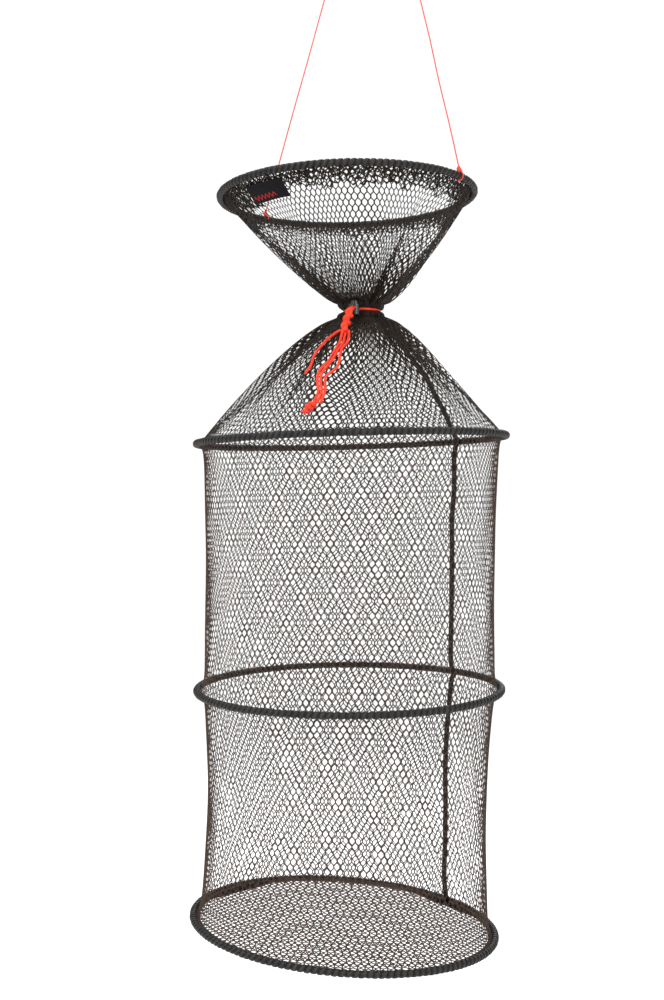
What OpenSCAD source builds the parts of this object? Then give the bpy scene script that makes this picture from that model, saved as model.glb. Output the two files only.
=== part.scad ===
// A hanging ring net: four wire hoops carry a funnel mouth, a gathered neck, a shoulder and two
// wall sections of netting over a net floor. The net folds flat because every hoop can be lifted
// towards the one above it. The origin is the centre of the mouth hoop, and +Z points up.

/* [Mouth hoop] */
// Centreline diameter of the mouth hoop
mouth_d = 249; // [200:1:300]
// Sideways slope of the mouth hoop, in degrees
mouth_tilt = -1.2; // [-2:0.1:2]

/* [Neck] */
// Height of the neck below the mouth hoop
neck_drop = 113; // [95:1:150]
// Sideways offset of the neck from the mouth hoop's centre
neck_x = 15; // [10:1:20]
// Diameter of the bunched netting at the neck
neck_d = 36; // [32:1:42]
// Height of the bunched netting
neck_h = 16; // [12:1:22]

/* [Shoulder hoop] */
// Centreline diameter of the shoulder hoop
shoulder_d = 303; // [260:1:340]
// Height of the shoulder hoop below the neck
shoulder_drop = 127; // [110:1:160]
// Sideways offset of the shoulder hoop
shoulder_x = 4; // [0:1:8]
// Sideways slope of the shoulder hoop, in degrees
shoulder_tilt = -1.6; // [-2:0.1:2]

/* [Middle hoop] */
// Centreline diameter of the middle hoop
middle_d = 298; // [260:1:340]
// Height of the middle hoop below the shoulder hoop
middle_drop = 243; // [180:1:300]
// Sideways offset of the middle hoop
middle_x = 2; // [-2:1:6]
// Sideways slope of the middle hoop, in degrees
middle_tilt = -0.4; // [-2:0.1:2]
// Fore-and-aft slope of the middle hoop, in degrees
middle_pitch = 0.8; // [-2:0.1:2]

/* [Bottom hoop] */
// Centreline diameter of the bottom hoop
bottom_d = 296; // [260:1:340]
// Height of the bottom hoop below the middle hoop
bottom_drop = 230; // [180:1:300]
// Sideways offset of the bottom hoop
bottom_x = -3; // [-6:1:2]
// Sideways slope of the bottom hoop, in degrees
bottom_tilt = 4; // [0:0.1:5]
// Fore-and-aft slope of the bottom hoop, in degrees
bottom_pitch = -1.9; // [-3:0.1:2]

/* [Hoop build] */
// Diameter of the steel wire in each hoop
wire_d = 3; // [2:0.1:3.4]
// Gap between the two ends of the wire
wire_gap = 2; // [1:0.5:4]
// Length of the crimped ferrule that joins the wire's ends
ferrule_len = 18; // [12:1:26]
// Wall of the ferrule
ferrule_wall = 0.8; // [0.5:0.1:0.9]
// Wall of the plastic sleeve on the wire
sleeve_wall = 0.9; // [0.5:0.1:1]
// Thickness of the twine lashing over the sleeve
lashing_t = 1.2; // [0.8:0.1:2]
// Clearance between the layers of a hoop
layer_gap = 0.1; // [0.05:0.05:0.2]

/* [Netting] */
// Thickness of the netting
net_t = 0.8; // [0.6:0.1:1.2]
// How far a wall steps in just beside a hoop
wall_step = 4; // [1:0.5:6]
// How far the upper wall draws in at its middle
upper_waist = 2; // [0:0.5:8]
// How far the lower wall draws in at its middle
lower_waist = 5; // [0:0.5:10]
// How the two cones swell between hoop and neck: 1 is straight, and less is fuller
cone_swell = 0.7; // [0.6:0.05:1]
// Clearance from the netting to the hoops and to its neighbours
net_gap = 0.3; // [0.2:0.1:0.5]
// Depth of the doubled hem below the mouth hoop, along the slope
hem_len = 18; // [12:1:26]
// Width of the sewn seam
seam_w = 4; // [2:0.5:6]
// Direction of the seam round the walls, in degrees from +X
seam_angle = 39; // [30:1:50]

/* [Label] */
// Width of the woven label
label_w = 46; // [36:1:50]
// Height of the woven label
label_h = 21; // [16:1:22]
// Thickness of the woven label
label_t = 0.6; // [0.4:0.1:1]
// Direction of the label round the mouth, in degrees from +X
label_angle = -133; // [-140:1:-125]
// Place of its upper edge, as a share of the funnel's height
label_share = 0.06; // [0.04:0.01:0.2]

/* [Hanging lines] */
// Diameter of the two hanging lines
line_d = 1.2; // [0.8:0.1:1.6]
// Radius of the knot that ties a line to the mouth hoop
line_knot_r = 1.9; // [1.5:0.1:2.5]
// Diameter of the loop at the top of a line
line_loop_d = 16; // [12:1:24]

/* [Drawstring] */
// Diameter of the drawstring
cord_d = 2.6; // [2:0.1:2.8]
// Radius of the knot below the cord lock
cord_knot_r = 4; // [3:0.1:4.2]
// Radius of the knot that gathers the long tails
tail_knot_r = 4.2; // [3:0.1:4.3]

/* [Cord lock] */
// Diameter of the cord lock's body
lock_d = 10; // [9.5:0.1:11]
// Height of the cord lock's body
lock_h = 10; // [9.5:0.1:11]
// Direction of the cord lock round the neck, in degrees from +X
lock_angle = -110; // [-120:1:-100]
// How far the button travels
lock_travel = 2; // [1.5:0.1:2]
// How far the button stands out of the body
button_out = 3; // [2.5:0.1:4]
// Running clearance round the button
button_gap = 0.3; // [0.2:0.05:0.4]
// Diameter of the spring's wire
spring_wire_d = 0.4; // [0.3:0.05:0.5]

/* [Hidden] */

net_black = [0.07, 0.06, 0.06];
lash_black = [0.14, 0.13, 0.13];
cord_red = [0.95, 0.2, 0.15];
line_red = [0.85, 0.25, 0.25];

// Hoops, each as [x, z, slope about Y, slope about X, centreline diameter]
neck_z = -neck_drop;
shoulder_z = neck_z - shoulder_drop;
middle_z = shoulder_z - middle_drop;
bottom_z = middle_z - bottom_drop;
MOUTH = [0, 0, mouth_tilt, 0, mouth_d];
NECK_TOP = [neck_x, neck_z + neck_h / 2 + net_gap, 0, 0, neck_d];
NECK_FOOT = [neck_x, neck_z - neck_h / 2 - net_gap, 0, 0, neck_d];
SHOULDER = [shoulder_x, shoulder_z, shoulder_tilt, 0, shoulder_d];
MIDDLE = [middle_x, middle_z, middle_tilt, middle_pitch, middle_d];
BOTTOM = [bottom_x, bottom_z, bottom_tilt, bottom_pitch, bottom_d];

// Radii of a hoop's layers, from the wire outwards
wire_r = wire_d / 2;
sleeve_in = wire_r + layer_gap;
sleeve_out = sleeve_in + sleeve_wall;
lashing_in = sleeve_in + max(sleeve_wall, ferrule_wall) + layer_gap;
lashing_out = lashing_in + lashing_t;

// Netting
sectors = 48;
cone_wall = net_t * 1.4;
line_r = line_d / 2;
cord_r = cord_d / 2;
cord_sides = 8;

// Inner radius that a hoop leaves for the netting
function net_radius(h) = h[4] / 2 - lashing_out - net_gap;

// A point in a hoop's own plane frame, turned and moved to its place
function in_hoop(h, x, y, z = 0) =
    let (y2 = y * cos(h[3]) - z * sin(h[3]), z2 = y * sin(h[3]) + z * cos(h[3]))
    [h[0] + x * cos(h[2]) + z2 * sin(h[2]), y2, h[1] - x * sin(h[2]) + z2 * cos(h[2])];

// A point at radius r and angle a on the way from hoop h0 to hoop h1
function between(h0, h1, t, r, a) =
    (1 - t) * in_hoop(h0, r * cos(a), r * sin(a)) + t * in_hoop(h1, r * cos(a), r * sin(a));

// Radius of a wall section at share t of its height, drawn in beside its hoops and at its waist
function wall_radius(h0, h1, t, waist) =
    let (reach = 6, high = abs(h1[1] - h0[1]), edge = min(t, 1 - t) * high)
    (1 - t) * net_radius(h0) + t * net_radius(h1)
    - wall_step * (1 - exp(-edge / reach)) - waist * sin(180 * t);

// Radius of a cone of netting at share u of its height from the neck, where it swells outwards
function cone_radius(h, u) = neck_d / 2 + (net_radius(h) - neck_d / 2) * pow(u, cone_swell);

// Rows of a wall section, as [share of the height, outer radius], ending clear of both hoop planes
function wall_rows(h0, h1, waist, end_gap) =
    let (high = abs(h1[1] - h0[1]), first = net_gap / high, last = 1 - end_gap / high)
    [for (t = [first, 0.015, 0.04, 0.12, 0.3, 0.5, 0.7, 0.88, 0.96, 0.985, last])
        [t, wall_radius(h0, h1, t, waist)]];

// Shares of a cone's height from the neck, close together where it curves most
cone_shares = [0, 0.02, 0.06, 0.14, 0.28, 0.48, 0.74, 1];

// Rows of the two cones of netting, each from its upper end to its lower end
funnel_rows = [for (i = [7:-1:0]) let (u = cone_shares[i] * (1 - net_gap / neck_drop))
    [1 - u, cone_radius(MOUTH, u)]];
shoulder_rows = [for (share = cone_shares) let (u = share * (1 - net_gap / shoulder_drop))
    [u, cone_radius(SHOULDER, u)]];
upper_rows = wall_rows(SHOULDER, MIDDLE, upper_waist, net_gap);
lower_rows = wall_rows(MIDDLE, BOTTOM, lower_waist, net_t / 2 + net_gap);

// Hem rows follow the funnel for hem_len along its slope
funnel_slope_len = norm([net_radius(MOUTH) - neck_d / 2, NECK_TOP[1]]);
hem_share = hem_len / funnel_slope_len;
hem_rows = [for (i = [0:3]) let (t = hem_share * (i + 0.1) / 3.1)
    [t, cone_radius(MOUTH, 1 - t) - cone_wall - 2 * net_gap]];

// Drawstring
waist_r = neck_d / 2 - cord_d - 0.2;
ring_r = neck_d / 2 - cord_r + 0.2;
lock_r = lock_d / 2;
lock_u = neck_d / 2 + lock_r + 0.8;
lock_floor = 1.2;
spring_space = 1;
slot_side = 0.2;
bridge_t = 0.8;
bridge_z = lock_floor + spring_space + lock_travel;
cord_in_lock_z = bridge_z + bridge_t + slot_side + cord_r;
lock_base_z = neck_z - cord_in_lock_z;
plunger_r = lock_r - 1.4;
strand_w = cord_r + 0.1;
slot_w = 2 * (strand_w + cord_r) + 2 * slot_side;
strand_end_u = lock_u + lock_r + 0.2;

// The loop round the neck, in the plane frame of the cord lock: u outwards, w sideways
loop_turn = 18;
neck_cord_route = concat(
    [[strand_end_u, strand_w], [lock_u, strand_w], [lock_u - lock_r, strand_w], [ring_r + 0.4, strand_w + 2]],
    [for (a = [loop_turn : loop_turn : 360 - loop_turn]) ring_r * [cos(a), sin(a)]],
    [[ring_r + 0.4, -strand_w - 2], [lock_u - lock_r, -strand_w], [lock_u, -strand_w],
        [strand_end_u, -strand_w]]);

// Drawstring knot, as the two ends of a rounded bar
drawstring_knot_ends = [[3, -32, -116], [-3, -56, -138]];

// Routes of the drawstring's loose tails, down the front of the shoulder netting
tail_left_route = [[-5, -59, -141], [-6, -62, -145], [-8, -70, -153], [-12, -77, -160], [-16, -83, -168],
    [-19, -88, -173], [-23, -92, -177], [-27, -96, -183], [-28, -103, -191], [-27, -113, -201],
    [-29, -120, -208], [-31, -123, -211]];
tail_middle_route = [[-2, -58, -142], [-3, -63, -147], [-5, -72, -154], [-9, -78, -160], [-13, -85, -168],
    [-16, -90, -173], [-20, -94, -178], [-24, -98, -184], [-25, -105, -192], [-24, -114, -201],
    [-26, -121, -208], [-28, -124, -212]];
tail_right_route = [[1, -58, -140], [1, -64, -146], [-1, -71, -153], [-5, -77, -158], [-7, -83, -164],
    [-8, -90, -171], [-10, -97, -178], [-15, -101, -183], [-20, -103, -187], [-21, -108, -193],
    [-21, -115, -201], [-23, -122, -208], [-25, -127, -213]];
tail_short_route = [[-7, -54, -139], [-11, -52, -141], [-18, -57, -147], [-24, -64, -154], [-29, -70, -161],
    [-32, -76, -167], [-34, -84, -175], [-39, -90, -183]];
tail_knot_ends = [[-31, -127, -214], [-38, -130, -220]];

// Ties of the hanging lines on the mouth hoop, as directions from +X, and the lines' routes
line_left_angle = 133;
line_right_angle = -34;
line_left_route = [[-85, 91, 6], [-70, 78, 55], [-55, 65, 104], [-40, 53, 152], [-25, 40, 201], [-10, 27, 250]];
line_right_route = [[103, -70, 10], [95, -62, 52], [86, -54, 95], [78, -47, 137], [69, -39, 180], [61, -31, 222]];

/* ---- shared shapes ---- */

// Moves a child into a hoop's frame
module at_hoop(h) {
    translate([h[0], 0, h[1]])
        rotate([h[3], h[2], 0])
            children();
}

// A ring of round section, open over a stretch of gap_len that is centred at angle 0
module ring(h, r_out, r_in, gap_len) {
    rc = h[4] / 2;
    gap_deg = gap_len / rc * 180 / PI;
    at_hoop(h)
        rotate([0, 0, gap_deg / 2])
            rotate_extrude(angle = 360 - gap_deg, $fn = 120)
                translate([rc, 0])
                    difference() {
                        circle(r = r_out, $fn = 32);
                        if (r_in > 0)
                            circle(r = r_in, $fn = 32);
                    }
}

// The wire of one hoop
module hoop_wire(h) {
    color("silver")
        ring(h, wire_r, 0, wire_gap);
}

// The crimped ferrule over the wire's two ends
module hoop_ferrule(h) {
    rc = h[4] / 2;
    span = ferrule_len / rc * 180 / PI;
    color("lightgray")
        at_hoop(h)
            rotate([0, 0, -span / 2])
                rotate_extrude(angle = span, $fn = 120)
                    translate([rc, 0])
                        difference() {
                            circle(r = sleeve_in + ferrule_wall, $fn = 32);
                            circle(r = wire_r + layer_gap / 2, $fn = 32);
                        }
}

// The plastic sleeve, which butts against the ferrule at both ends
module hoop_sleeve(h) {
    color("dimgray")
        ring(h, sleeve_out, sleeve_in, ferrule_len + 2 * layer_gap);
}

// The twine lashing that holds the netting to the hoop
module hoop_lashing(h) {
    color(lash_black)
        ring(h, lashing_out, lashing_in, 0);
}

// Faces of a tube made of n rings of s points outside and as many inside
function shell_faces(n, s) = [
    for (i = [0 : n - 2], j = [0 : s - 1]) let (k = (j + 1) % s)
        each [[i * s + j, i * s + k, (i + 1) * s + k], [i * s + j, (i + 1) * s + k, (i + 1) * s + j]],
    for (i = [0 : n - 2], j = [0 : s - 1]) let (k = (j + 1) % s, b = n * s)
        each [[b + i * s + j, b + (i + 1) * s + k, b + i * s + k],
            [b + i * s + j, b + (i + 1) * s + j, b + (i + 1) * s + k]],
    for (j = [0 : s - 1]) let (k = (j + 1) % s, b = n * s)
        each [[k, j, b + j], [k, b + j, b + k]],
    for (j = [0 : s - 1]) let (k = (j + 1) % s, a = (n - 1) * s, b = (2 * n - 1) * s)
        each [[a + j, a + k, b + k], [a + j, b + k, b + j]]];

// A sleeve of netting between two hoops, with rows of [share of the height, outer radius]
module net_sleeve(h0, h1, rows, wall) {
    points = [for (d = [0, wall], row = rows, j = [0 : sectors - 1])
        between(h0, h1, row[0], row[1] - d, j * 360 / sectors)];
    color(net_black)
        polyhedron(points, shell_faces(len(rows), sectors), convexity = 6);
}

// Faces of a solid strip or tube made of n rings of s points, closed at both ends
function strip_faces(n, s) = [
    for (i = [0 : n - 2], j = [0 : s - 1]) let (k = (j + 1) % s)
        each [[i * s + j, (i + 1) * s + j, (i + 1) * s + k], [i * s + j, (i + 1) * s + k, i * s + k]],
    [for (j = [0 : s - 1]) j],
    [for (j = [s - 1 : -1 : 0]) (n - 1) * s + j]];

// A sewn seam on the inside of a net section
module net_seam(h0, h1, rows, wall) {
    clear = net_gap + 0.3;
    thick = net_t;
    points = [for (row = rows) let (r = row[1] - wall - clear, half = seam_w / 2 / r * 180 / PI)
        for (q = [[r, -half], [r - thick, -half], [r - thick, half], [r, half]])
            between(h0, h1, row[0], q[0], seam_angle + q[1])];
    color(net_black)
        polyhedron(points, strip_faces(len(rows), 4), convexity = 4);
}

// Direction of a route at its point i
function route_dir(p, i) =
    let (d = p[min(i + 1, len(p) - 1)] - p[max(i - 1, 0)]) d / norm(d);

// Two directions square to d
function side_of(d) = let (s = cross(d, abs(d[2]) < 0.9 ? [0, 0, 1] : [1, 0, 0])) s / norm(s);

// A cord of radius r along the points of a route
module cord_tube(p, r, sides = cord_sides) {
    points = [for (i = [0 : len(p) - 1]) let (d = route_dir(p, i), u = side_of(d), v = cross(d, u))
        for (j = [0 : sides - 1]) p[i] + r * (cos(j * 360 / sides) * u + sin(j * 360 / sides) * v)];
    polyhedron(points, strip_faces(len(p), sides), convexity = 6);
}

// A bar with round ends between two points
module round_bar(ends, r) {
    d = ends[1] - ends[0];
    length = norm(d);
    turn = [0, acos(d[2] / length), atan2(d[1], d[0])];
    translate(ends[0])
        rotate(turn) {
            sphere(r = r, $fn = 32);
            cylinder(r = r, h = length, $fn = 32);
            translate([0, 0, length])
                sphere(r = r, $fn = 32);
        }
}

/* ---- mouth ---- */

module mouth_wire() { hoop_wire(MOUTH); }
module mouth_ferrule() { hoop_ferrule(MOUTH); }
module mouth_sleeve() { hoop_sleeve(MOUTH); }
module mouth_lashing() { hoop_lashing(MOUTH); }

// The doubled band of netting inside the funnel's upper edge
module mouth_hem() {
    net_sleeve(MOUTH, NECK_TOP, hem_rows, cone_wall);
}

// The woven label on the outside of the funnel, square to the slope between its upper and lower edges
module label() {
    high = -NECK_TOP[1];
    foot_share = label_share + label_h / funnel_slope_len;
    top_r = cone_radius(MOUTH, 1 - label_share);
    slope = atan2(top_r - cone_radius(MOUTH, 1 - foot_share), (foot_share - label_share) * high);
    proud = 1.2;
    color([0.08, 0.07, 0.08])
        translate([neck_x * label_share, 0, -high * label_share])
            rotate([0, 0, label_angle])
                translate([top_r, 0, 0])
                    rotate([0, 90 + slope, 0])
                        translate([0, -label_w / 2, proud])
                            cube([label_h, label_w, label_t]);
}

// The knot and half-hitch of a hanging line over the mouth hoop's lashing
module line_knot(angle) {
    over = lashing_out + 0.1;
    hitch_start = -80;
    hitch_turn = 230;
    barrel_h = 3.4;
    color(line_red)
        at_hoop(MOUTH)
            rotate([0, 0, angle])
                translate([mouth_d / 2, 0, 0]) {
                    rotate([90, 0, 0])
                        rotate([0, 0, hitch_start])
                            rotate_extrude(angle = hitch_turn, $fn = 48)
                                translate([over + line_r, 0])
                                    circle(r = line_r, $fn = 16);
                    translate([0, 0, over + line_r / 2])
                        cylinder(r = line_knot_r, h = barrel_h, $fn = 32);
                }
}

module line_knot_left() { line_knot(line_left_angle); }
module line_knot_right() { line_knot(line_right_angle); }

module line_left() {
    color(line_red)
        cord_tube(line_left_route, line_r);
}

module line_right() {
    color(line_red)
        cord_tube(line_right_route, line_r);
}

// The knotted loop at the top of a hanging line
module line_loop(route) {
    top = route[len(route) - 1];
    knot_h = 4;
    loop_end_deg = 7;
    color(line_red)
        translate(top + [0, 0, 0.3]) {
            cylinder(r = line_knot_r, h = knot_h, $fn = 32);
            translate([0, 0, knot_h - 1 + line_loop_d / 2])
                rotate([90, 0, 0])
                    rotate([0, 0, loop_end_deg - 90])
                        rotate_extrude(angle = 360 - 2 * loop_end_deg, $fn = 48)
                            translate([line_loop_d / 2, 0])
                                circle(r = line_r, $fn = 16);
        }
}

module line_loop_left() { line_loop(line_left_route); }
module line_loop_right() { line_loop(line_right_route); }

/* ---- neck ---- */

module funnel_net() {
    net_sleeve(MOUTH, NECK_TOP, funnel_rows, cone_wall);
}

// The netting bunched together inside the drawstring
module neck_gather() {
    groove = cord_r + 0.4;
    lip = groove + 2;
    color(net_black)
        translate([neck_x, 0, neck_z])
            rotate_extrude($fn = 96)
                polygon([[0, -neck_h / 2], [neck_d / 2, -neck_h / 2], [neck_d / 2, -lip], [waist_r, -groove],
                    [waist_r, groove], [neck_d / 2, lip], [neck_d / 2, neck_h / 2], [0, neck_h / 2]]);
}

// The drawstring's loop round the neck, with both strands through the cord lock
module neck_cord() {
    route = [for (q = neck_cord_route) [q[0] * cos(lock_angle) - q[1] * sin(lock_angle),
        q[0] * sin(lock_angle) + q[1] * cos(lock_angle), 0] + [neck_x, 0, neck_z]];
    color(cord_red)
        cord_tube(route, cord_r);
}

// Moves a child to the foot of the cord lock, with X pointing away from the neck
module at_lock() {
    translate([neck_x, 0, lock_base_z])
        rotate([0, 0, lock_angle])
            translate([lock_u, 0, 0])
                children();
}

// The barrel of the cord lock, with its bore for the button and its slot for the strands
module cord_lock_body() {
    slot_h = cord_d + 2 * slot_side;
    color([0.1, 0.1, 0.1])
        at_lock()
            difference() {
                cylinder(r = lock_r, h = lock_h, $fn = 64);
                translate([0, 0, lock_floor])
                    cylinder(r = plunger_r + button_gap, h = lock_h, $fn = 64);
                translate([-lock_d, -slot_w / 2, cord_in_lock_z - slot_h / 2])
                    cube([2 * lock_d, slot_w, slot_h]);
            }
}

// The sprung button, whose slot holds the strands against the barrel
module cord_lock_button() {
    top_z = lock_h + button_out;
    slot_z = bridge_z + bridge_t;
    slot_h = cord_d + 2 * slot_side + lock_travel;
    color([0.13, 0.13, 0.13])
        at_lock()
            difference() {
                translate([0, 0, bridge_z])
                    cylinder(r = plunger_r, h = top_z - bridge_z, $fn = 64);
                translate([-lock_d, -slot_w / 2, slot_z])
                    cube([2 * lock_d, slot_w, slot_h]);
            }
}

// The compression spring under the button
module cord_lock_spring() {
    coils = 2.5;
    turn_points = 12;
    spring_r = plunger_r - 0.8;
    wire = spring_wire_d / 2;
    low = lock_floor + wire + 0.05;
    high = bridge_z - wire - 0.05;
    route = [for (i = [0 : coils * turn_points]) let (a = i * 360 / turn_points)
        [spring_r * cos(a), spring_r * sin(a), low + (high - low) * i / (coils * turn_points)]];
    color("silver")
        at_lock()
            cord_tube(route, wire);
}

module drawstring_knot() {
    color(cord_red)
        round_bar(drawstring_knot_ends, cord_knot_r);
}

module tail_left() {
    color(cord_red)
        cord_tube(tail_left_route, cord_r);
}

module tail_middle() {
    color(cord_red)
        cord_tube(tail_middle_route, cord_r);
}

module tail_right() {
    color(cord_red)
        cord_tube(tail_right_route, cord_r);
}

module tail_short() {
    color(cord_red)
        cord_tube(tail_short_route, cord_r);
}

module tail_knot() {
    color(cord_red)
        round_bar(tail_knot_ends, tail_knot_r);
}

/* ---- shoulder ---- */

module shoulder_wire() { hoop_wire(SHOULDER); }
module shoulder_ferrule() { hoop_ferrule(SHOULDER); }
module shoulder_sleeve() { hoop_sleeve(SHOULDER); }
module shoulder_lashing() { hoop_lashing(SHOULDER); }
module shoulder_net() { net_sleeve(NECK_FOOT, SHOULDER, shoulder_rows, cone_wall); }
module shoulder_seam() { net_seam(NECK_FOOT, SHOULDER, shoulder_rows, cone_wall); }

/* ---- middle ---- */

module middle_wire() { hoop_wire(MIDDLE); }
module middle_ferrule() { hoop_ferrule(MIDDLE); }
module middle_sleeve() { hoop_sleeve(MIDDLE); }
module middle_lashing() { hoop_lashing(MIDDLE); }
module upper_net() { net_sleeve(SHOULDER, MIDDLE, upper_rows, net_t); }
module upper_seam() { net_seam(SHOULDER, MIDDLE, upper_rows, net_t); }

/* ---- bottom ---- */

module bottom_wire() { hoop_wire(BOTTOM); }
module bottom_ferrule() { hoop_ferrule(BOTTOM); }
module bottom_sleeve() { hoop_sleeve(BOTTOM); }
module bottom_lashing() { hoop_lashing(BOTTOM); }
module lower_net() { net_sleeve(MIDDLE, BOTTOM, lower_rows, net_t); }
module lower_seam() { net_seam(MIDDLE, BOTTOM, lower_rows, net_t); }

// The flat net floor in the plane of the bottom hoop
module floor_net() {
    color(net_black)
        at_hoop(BOTTOM)
            translate([0, 0, -net_t / 2])
                cylinder(r = net_radius(BOTTOM), h = net_t, $fn = 128);
}

mouth_wire();
mouth_ferrule();
mouth_sleeve();
mouth_lashing();
mouth_hem();
label();
line_knot_left();
line_knot_right();
line_left();
line_right();
line_loop_left();
line_loop_right();
funnel_net();
neck_gather();
neck_cord();
cord_lock_body();
cord_lock_button();
cord_lock_spring();
drawstring_knot();
tail_left();
tail_middle();
tail_right();
tail_short();
tail_knot();
shoulder_wire();
shoulder_ferrule();
shoulder_sleeve();
shoulder_lashing();
shoulder_net();
shoulder_seam();
middle_wire();
middle_ferrule();
middle_sleeve();
middle_lashing();
upper_net();
upper_seam();
bottom_wire();
bottom_ferrule();
bottom_sleeve();
bottom_lashing();
lower_net();
lower_seam();
floor_net();
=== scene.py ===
"""Visual model of a hanging, collapsible ring net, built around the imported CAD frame."""

import logging
import math
from dataclasses import dataclass, field, replace
from enum import Enum
from typing import Callable, Sequence

import bmesh
import bpy
import numpy as np
from mathutils import Matrix, Vector


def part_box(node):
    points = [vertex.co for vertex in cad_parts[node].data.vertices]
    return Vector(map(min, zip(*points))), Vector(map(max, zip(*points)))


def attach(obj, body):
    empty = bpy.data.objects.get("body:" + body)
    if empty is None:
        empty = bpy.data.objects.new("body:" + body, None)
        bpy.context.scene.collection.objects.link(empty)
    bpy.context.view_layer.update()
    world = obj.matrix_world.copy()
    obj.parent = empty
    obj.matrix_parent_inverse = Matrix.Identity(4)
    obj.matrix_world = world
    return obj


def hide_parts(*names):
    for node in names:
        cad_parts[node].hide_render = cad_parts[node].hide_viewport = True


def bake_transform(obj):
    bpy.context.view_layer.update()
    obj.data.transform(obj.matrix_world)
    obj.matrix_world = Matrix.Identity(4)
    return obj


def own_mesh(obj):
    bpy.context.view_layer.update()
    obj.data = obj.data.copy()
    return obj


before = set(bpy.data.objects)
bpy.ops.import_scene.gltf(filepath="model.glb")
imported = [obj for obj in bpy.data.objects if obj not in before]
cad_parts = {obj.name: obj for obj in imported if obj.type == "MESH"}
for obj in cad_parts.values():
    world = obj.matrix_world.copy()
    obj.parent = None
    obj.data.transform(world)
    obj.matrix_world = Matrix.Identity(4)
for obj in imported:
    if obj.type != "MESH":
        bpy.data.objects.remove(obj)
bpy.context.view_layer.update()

LOG = logging.getLogger("ring_net")
MM = 0.001
TURN = 2 * math.pi
DYE_SCALE = 70.0
DYE_GAIN = 2.6
ROUND_END = ((0.25, 0.97), (0.45, 0.89), (0.6, 0.8))
END_TAPER = 0.8
HOOP_NAMES = ("mouth", "shoulder", "middle", "bottom")

Colour = tuple[float, float, float]
Array = np.ndarray


# ---------------------------------------------------------------- small helpers


def mm(*values: float) -> Vector:
    """A point given in millimetres, in metres."""
    return Vector(values) * MM


def middle_of(node: str) -> Vector:
    """The centre of a CAD node's box."""
    low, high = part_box(node)
    return (low + high) / 2


def smooth_share(x: Array) -> Array:
    """A share from 0 to 1 that eases in and out."""
    x = np.clip(x, 0.0, 1.0)
    return x * x * (3 - 2 * x)


def read_points(mesh: bpy.types.Mesh) -> Array:
    """The vertices of a mesh as rows of x, y and z."""
    co = np.zeros(len(mesh.vertices) * 3)
    mesh.vertices.foreach_get("co", co)
    return co.reshape(-1, 3)


def write_points(mesh: bpy.types.Mesh, points: Array) -> None:
    """Moves every vertex of a mesh to its row of points."""
    mesh.vertices.foreach_set("co", points.ravel())
    mesh.update()


def new_verts(made: Sequence) -> list:
    """The vertices among the geometry that an operator returned."""
    return [g for g in made if isinstance(g, bmesh.types.BMVert)]


def new_edges(made: Sequence) -> list:
    """The edges among the geometry that an operator returned."""
    return [g for g in made if isinstance(g, bmesh.types.BMEdge)]


def as_object(bm: bmesh.types.BMesh, name: str) -> bpy.types.Object:
    """Turns a finished bmesh into an object in the scene.

    Args:
        bm: the geometry, which is freed.
        name: the piece's name.

    Returns:
        The new object, smooth shaded, at the origin.
    """
    mesh = bpy.data.meshes.new(name)
    bm.to_mesh(mesh)
    bm.free()
    mesh.shade_smooth()
    piece = bpy.data.objects.new(name, mesh)
    bpy.context.collection.objects.link(piece)
    return piece


def stacked_rings(sides: int, levels: int) -> tuple[bmesh.types.BMesh, list, list]:
    """Stacks rings of radius 1 into an open tube, to be shaped by each ring's level.

    Args:
        sides: how many sides a ring has.
        levels: how many rings there are, at heights 0, 1, 2 and so on.

    Returns:
        The geometry, the first ring's edges and the last ring's edges.
    """
    bm = bmesh.new()
    bmesh.ops.create_circle(bm, segments=sides, radius=1.0)
    first = last = bm.edges[:]
    for level in range(1, levels):
        made = bmesh.ops.extrude_edge_only(bm, edges=last)["geom"]
        last = new_edges(made)
        for vert in new_verts(made):
            vert.co.z = level
    return bm, first, last


def cap_ends(bm: bmesh.types.BMesh, *rings: list) -> None:
    """Closes each ring of edges with one face."""
    for ring in rings:
        bmesh.ops.contextual_create(bm, geom=ring)


def face_outwards(piece: bpy.types.Object) -> None:
    """Turns every face of a closed piece outwards."""
    bm = bmesh.new()
    bm.from_mesh(piece.data)
    bmesh.ops.recalc_face_normals(bm, faces=bm.faces[:])
    bm.to_mesh(piece.data)
    bm.free()


def join(name: str, parts: Sequence[bpy.types.Object]) -> bpy.types.Object:
    """Joins several meshes into one piece.

    Args:
        name: the name of the joined piece.
        parts: the objects, which are used up.

    Returns:
        The joined object.
    """
    bm = bmesh.new()
    for part in parts:
        bm.from_mesh(part.data)
    materials = [m for m in parts[0].data.materials]
    for part in parts:
        bpy.data.objects.remove(part)
    piece = as_object(bm, name)
    for material in materials:
        piece.data.materials.append(material)
    return piece


# ---------------------------------------------------------------- finishes


class Pattern(Enum):
    """How a finish's relief runs over its surface."""

    PLAIN = "plain"
    FIBRE = "fibre"
    WRAP = "wrap"
    BRAID = "braid"
    LABEL = "label"


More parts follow.
